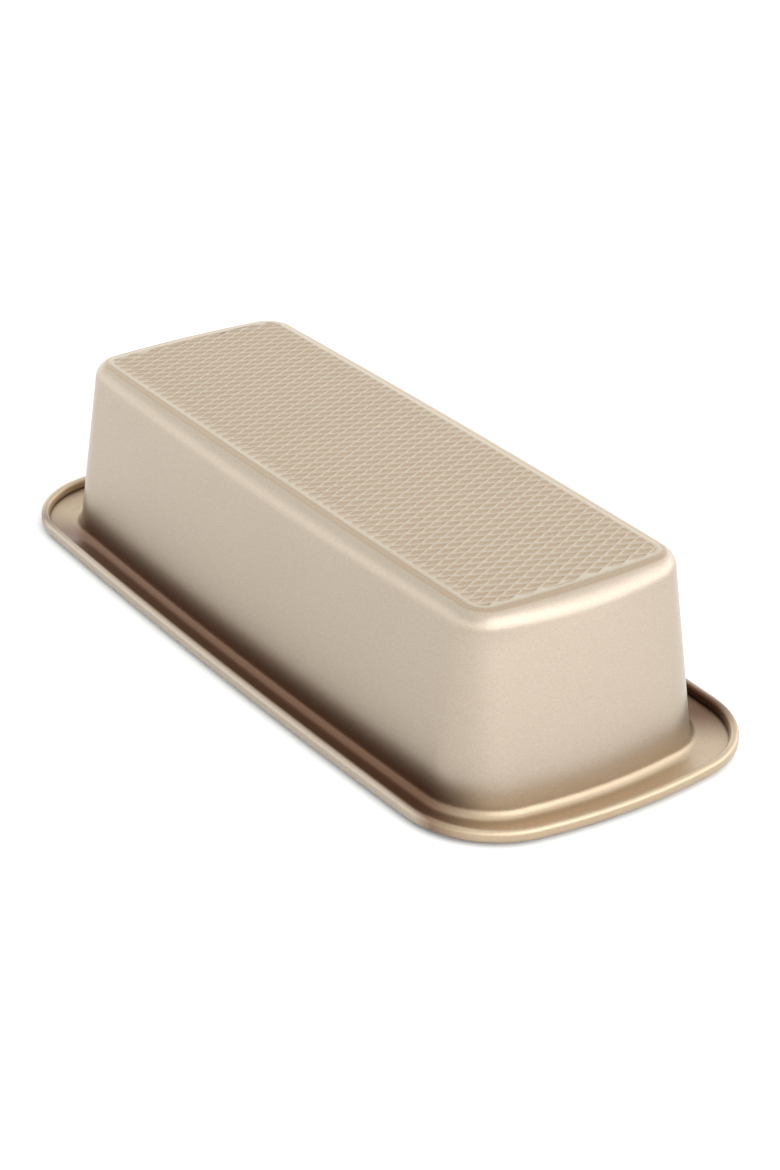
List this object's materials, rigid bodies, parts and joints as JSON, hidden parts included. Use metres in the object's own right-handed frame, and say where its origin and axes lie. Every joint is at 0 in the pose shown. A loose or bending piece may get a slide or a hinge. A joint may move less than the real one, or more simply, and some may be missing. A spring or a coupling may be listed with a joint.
{
  "type": "loaf pan",
  "caption": "Long rectangular loaf pan lying upside down: drawn sheet pan with leaning walls, diamond-embossed base, flange and wired rolled rim.",
  "frame": {"origin": "centre of the mouth, on the table plane that the upside-down pan rests on", "axes": "+X along the pan's length, +Y across its width, +Z from the mouth to the base. The pan is stored upside down, base up; turn it half a turn about X to use it"},
  "size_m": [0.3214, 0.137, 0.071],
  "materials": {
    "nonstick_coat": "satin champagne-gold metallic non-stick coat",
    "wire_steel": "bright drawn wire"
  },
  "bodies": {
    "root": {"pan_shell": "nonstick_coat", "rim_wire": "wire_steel"}
  },
  "joints": []
}
